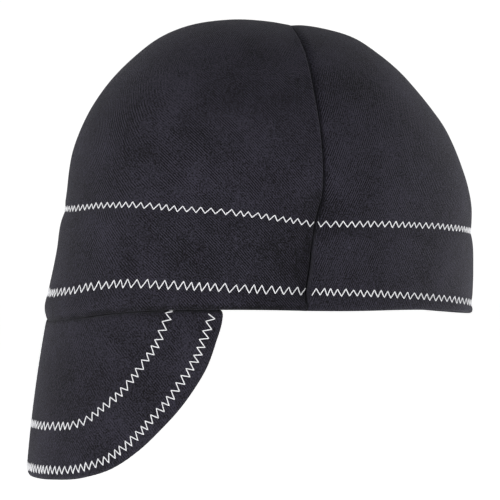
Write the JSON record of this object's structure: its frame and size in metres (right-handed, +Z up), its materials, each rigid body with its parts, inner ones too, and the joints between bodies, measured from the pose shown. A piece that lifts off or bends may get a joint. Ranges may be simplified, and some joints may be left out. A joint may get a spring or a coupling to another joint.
{
  "type": "welding cap",
  "caption": "Close round cloth work cap with a deep turned-up band, one seam over the top and a short hanging cloth bill, stitched in white zigzag.",
  "frame": {"origin": "middle of the head opening, level with the rim at the ears", "axes": "+Z up, -Y the front of the cap, +X the wearer's left"},
  "size_m": [0.1634, 0.2195, 0.2181],
  "materials": {
    "crown_twill": "matte",
    "bill_twill": "matte",
    "stitch_thread": "satin"
  },
  "bodies": {
    "root": {"crown_front_panel": "crown_twill", "crown_rear_panel": "crown_twill", "bill": "bill_twill"}
  },
  "joints": []
}
